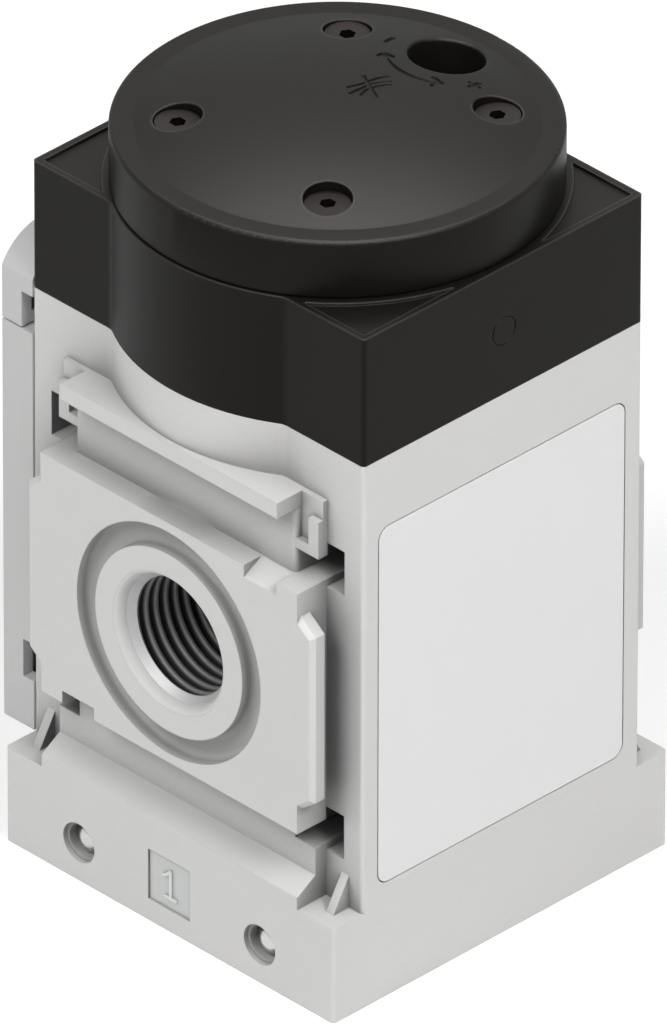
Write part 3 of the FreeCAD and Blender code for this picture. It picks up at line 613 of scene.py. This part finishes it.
def mark_strokes():
    """Lines of the symbols in mm, in groups whose lines don't cross, each with its width."""
    first, last = arc_ends
    angles = [math.radians(first + (last - first) * step / arc_steps) for step in range(arc_steps + 1)]
    across, along = hole_place
    arc = [(across + arc_radius * math.cos(a), along + arc_radius * math.sin(a)) for a in angles]
    left, right = arc[0], arc[-1]
    minus = [(-7.6, 16.4), (-7.9, 17.9)]
    plus_across = [(7.22, 17.31), (8.72, 17.31)]
    plus_along = [(7.97, 16.46), (7.97, 18.16)]
    left_outer = barb(left, (-0.05, 0.02), (-5.2, 12.7))
    left_inner = barb(left, (0.12, 0.07), (-3.8, 13.85))
    right_inner = barb(right, (0.04, 0.03), (3.6, 14.1))
    right_outer = barb(right, (-0.05, 0.11), (5.1, 12.4))
    left_bow = [(-1.56, 3.46), (-0.95, 5.41), (-0.89, 6.58), (-0.66, 7.98), (-0.20, 9.47)]
    middle_bow = [(-0.25, 2.57), (-0.14, 5.02), (-0.18, 6.28), (0.26, 7.48), (0.89, 8.70)]
    right_bow = [(1.04, 3.35), (0.62, 4.58), (0.64, 5.47), (0.84, 6.71), (1.52, 8.09)]
    slanted = [(-2.43, 7.07), (2.58, 4.48)]
    groups = (((minus, arc, plus_across), (left_bow, right_bow)),
              ((left_outer, right_inner, plus_along), (middle_bow,)),
              ((left_inner, right_outer), (slanted,)))
    return [[(line, groove_wide) for line in wide] + [(line, groove_fine) for line in fine]
            for wide, fine in groups]


def rounded_stations(points, width):
    """Centre, direction and half width along a line, with round ends. Points in mm."""
    line = [Vector(point) * mm for point in points]
    half = width / 2
    steps = [(b - a).normalized() for a, b in zip(line, line[1:])]
    courses = [steps[0]] + [(a + b).normalized() for a, b in zip(steps, steps[1:])] + [steps[-1]]
    stations = [(place, course, half) for place, course in zip(line, courses)]
    turns = [math.radians(angle) for angle in (10, 30, 60)]
    for place, course, back in ((line[0], courses[0], -1), (line[-1], courses[-1], 1)):
        end = [(place + back * half * math.cos(t) * course, course, half * math.sin(t)) for t in turns]
        stations = end + stations if back < 0 else stations + end[::-1]
    return stations


def stroke(points, width, name):
    """Flat ribbon along a line in the XY plane."""
    stations = rounded_stations(points, width)
    bpy.ops.object.select_all(action="DESELECT")
    bpy.ops.mesh.primitive_grid_add(x_subdivisions=len(stations) - 1, y_subdivisions=1, size=mm)
    ribbon = bpy.context.object
    ribbon.name = name
    for index, (place, course, half) in enumerate(stations):
        side = Vector((-course.y, course.x)) * half
        ribbon.data.vertices[index].co = (place.x - side.x, place.y - side.y, 0)
        ribbon.data.vertices[index + len(stations)].co = (place.x + side.x, place.y + side.y, 0)
    return ribbon


def raise_up(piece, height):
    """Turns a flat piece into a solid of a height."""
    edit(piece)
    bpy.ops.mesh.select_all(action="SELECT")
    bpy.ops.mesh.extrude_region_move(TRANSFORM_OT_translate={"value": (0, 0, height)})
    bpy.ops.mesh.select_all(action="SELECT")
    bpy.ops.mesh.normals_make_consistent(inside=False)
    leave()


def copy_of(node, name):
    """Copy of a solid with its doubles merged, to be worked on."""
    piece = bpy.data.objects.new(name, frame["nodes"][node].data.copy())
    bpy.context.scene.collection.objects.link(piece)
    edit(piece)
    bpy.ops.mesh.select_all(action="SELECT")
    bpy.ops.mesh.remove_doubles(threshold=merge_reach)
    leave()
    bpy.ops.mesh.customdata_custom_splitnormals_clear()
    return piece


def dome_height(x, y):
    """Height of the cap's round top, which is a part of a sphere."""
    return dome_top - dome_sphere + math.sqrt(dome_sphere ** 2 - x * x - y * y)


def on_dome(place):
    """Tells whether a point lies on the cap's round top."""
    reach = (place - Vector((0, 0, dome_top - dome_sphere))).length
    return place.z > dome_top - dome_below_top and abs(reach - dome_sphere) < sphere_tolerance


def on_dome_border(place):
    """Tells whether a point lies where the round top meets the flat ring about it."""
    off_border = abs(place.xy.length - dome_radius)
    return place.z > dome_top - dome_below_top and off_border < border_tolerance


def divide_dome(cap):
    """Cuts the round top into small faces, and puts their corners on the sphere."""
    edit(cap)
    rows = math.ceil(dome_radius / dome_grid)
    for normal in ((1, 0, 0), (0, 1, 0)):
        for row in range(-rows, rows + 1):
            select_where(cap, "faces", on_dome)
            place = tuple(row * dome_grid * axis for axis in normal)
            bpy.ops.mesh.bisect(plane_co=place, plane_no=normal)
    leave()
    for vertex in cap.data.vertices:
        if on_dome(vertex.co) and vertex.co.xy.length < dome_radius - border_strip:
            vertex.co.z = dome_height(vertex.co.x, vertex.co.y)


def groove_cutter(line, width, depth, name):
    """Solid along a line that reaches from a depth below the round top to well above it."""
    cutter = stroke(line, width, name)
    for vertex in cutter.data.vertices:
        vertex.co.z = dome_height(vertex.co.x, vertex.co.y) - depth
    raise_up(cutter, 3 * groove_depth)
    return cutter


def make_marks():
    """Cap with its symbols cut into the round top."""
    cap = copy_of("cap", "marked_cap")
    divide_dome(cap)
    for number, group in enumerate(mark_strokes()):
        # A small step from group to group keeps the floors of crossing grooves apart
        depth = groove_depth * (1 - groove_depth_step * number)
        cutter = join([groove_cutter(line, width, depth, f"groove_{number}_{index}")
                       for index, (line, width) in enumerate(group)])
        combine(cap, "DIFFERENCE", cutter)
    finish_piece(cap, "marked_cap", "cap_plastic")
    edit(cap)
    bpy.ops.mesh.select_mode(type="EDGE")
    select_where(cap, "edges", on_dome_border)
    bpy.ops.mesh.mark_sharp()
    leave()
    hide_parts("cap")


# Port numbers, raised on their plates, with their lines in mm
digit_stroke = 0.5 * mm
digit_rise = 0.26 * mm
digit_sunk = 0.05 * mm
digit_bevel = 0.14 * mm
digit_lines = {
    "inlet": [[(-1.1, 8.4), (-0.5, 8.75), (0.16, 9.35)], [(0.2, 9.4), (0.2, 5.2)],
              [(-0.75, 5.2), (1.15, 5.2)]],
    "outlet": [[(-1.25, 8.35), (-1.0, 9.05), (-0.35, 9.5), (0.35, 9.5), (1.0, 9.05), (1.2, 8.35),
                (0.95, 7.65), (0.3, 6.9), (-0.6, 5.95), (-1.25, 5.1)], [(-1.25, 5.1), (1.3, 5.1)]],
}


def make_numbers():
    """1 on the inlet's plate and 2 on the outlet's."""
    for port, side in (("inlet", -1), ("outlet", 1)):
        low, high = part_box(port + "_number_plate")
        front = low[1] if side < 0 else high[1]
        lines = []
        for index, points in enumerate(digit_lines[port]):
            lines.append(stroke(points, digit_stroke, f"{port}_line_{index}"))
            raise_up(lines[-1], digit_rise + digit_sunk)
        digit = lines[0]
        for line in lines[1:]:
            combine(digit, "UNION", line)
        modify(digit, "BEVEL", width=digit_bevel, segments=3, limit_method="ANGLE",
               angle_limit=math.radians(50))
        digit.rotation_euler = (math.pi / 2, 0, 0 if side < 0 else math.pi)
        digit.location = (0, front - side * digit_sunk, 0)
        finish_piece(digit, port + "_number", "number_film", finish="raised_number")


def make_spring():
    """Poppet spring between the bottom plug and the poppet, as a copy of the solid that stands in its
    place.
    """
    spring = finish_piece(copy_of("poppet_spring", "squeezed_spring"), "squeezed_spring", "spring_steel")
    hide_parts("poppet_spring")
    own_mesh(spring)


# Floor and light
floor_size = 6.0
sky_light = 0.24


def shown_ray(tree):
    """1 for rays that show the background: the camera's, and those mirrored or let through."""
    path = "ShaderNodeLightPath"
    shown = (tree.node(path, output="Is Camera Ray") + tree.node(path, output="Is Glossy Ray")
             + tree.node(path, output="Is Transmission Ray"))
    return tree.ramp(shown, 0.0, 1.0)


def make_floor():
    """Plain pale floor that shows white to the camera and keeps the shadow."""
    bpy.ops.mesh.primitive_plane_add(size=floor_size, location=(0, 0, 0))
    floor = bpy.context.object
    floor.name = "floor"
    material, tree = new_material("pale_floor")
    shown = shown_ray(tree)
    tree.finish(Base_Color=tree.blend(shown, grey(0.8), grey(0.85)), Roughness=0.9,
                Emission_Color=tree.blend(shown, grey(0.0), grey(sky_light)), Emission_Strength=1.0,
                Specular_IOR_Level=0.0)
    floor.data.materials.append(material)


def make_light(name, azimuth, elevation, distance, size, power, diffuse=True, glossy=True, only=None):
    """Square soft box aimed at the object's middle. Azimuth 0 is on the side of +X, 90 on that of +Y.

    A collection given as only holds the pieces that it lights."""
    data = bpy.data.lights.new(name, "AREA")
    data.size = size
    data.energy = power
    lamp = bpy.data.objects.new(name, data)
    bpy.context.scene.collection.objects.link(lamp)
    around, up = math.radians(azimuth), math.radians(elevation)
    towards = Vector((math.cos(up) * math.cos(around), math.cos(up) * math.sin(around), math.sin(up)))
    lamp.location = aim + distance * towards
    lamp.rotation_euler = towards.to_track_quat("Z", "Y").to_euler()
    lamp.visible_diffuse = diffuse
    lamp.visible_glossy = glossy
    if only is not None:
        lamp.light_linking.receiver_collection = only


def make_lights():
    """Three soft boxes, and two cards that show as gloss on the coated pieces alone."""
    make_light("left", azimuth=-92, elevation=48, distance=1.0, size=0.45, power=5.55)
    make_light("right", azimuth=-3, elevation=48, distance=1.0, size=0.45, power=6.45)
    make_light("behind", azimuth=140, elevation=32, distance=1.2, size=0.7, power=3.0, glossy=False)
    coated_pieces = bpy.data.collections.new("coated_pieces")
    for name in ("marked_cap", "cover_screws", "housing"):
        coated_pieces.objects.link(bpy.data.objects[name])
    make_light("card_behind", azimuth=134.5, elevation=70, distance=1.1, size=0.6, power=19.0,
               diffuse=False, only=coated_pieces)
    make_light("card_above", azimuth=-44.5, elevation=66, distance=1.1, size=0.6, power=26.0,
               diffuse=False, only=coated_pieces)


def make_world():
    """World that is white to the camera and a soft grey light for the object."""
    world = bpy.data.worlds.new("studio")
    bpy.context.scene.world = world
    tree = Tree(world)
    light = tree.node("ShaderNodeBackground", None, {"Color": grey(1.0), "Strength": sky_light})
    white = tree.node("ShaderNodeBackground", None, {"Color": grey(1.0), "Strength": 1.0})
    mixed = tree.node("ShaderNodeMixShader", None, {0: shown_ray(tree), 1: light, 2: white})
    tree.node("ShaderNodeOutputWorld", None, {"Surface": mixed})


bpy.ops.object.select_all(action="DESELECT")
make_camera()
paint_solids()
make_ports()
make_marks()
make_numbers()
make_spring()
make_floor()
make_world()
make_lights()
bpy.context.scene.view_settings.view_transform = "Standard"
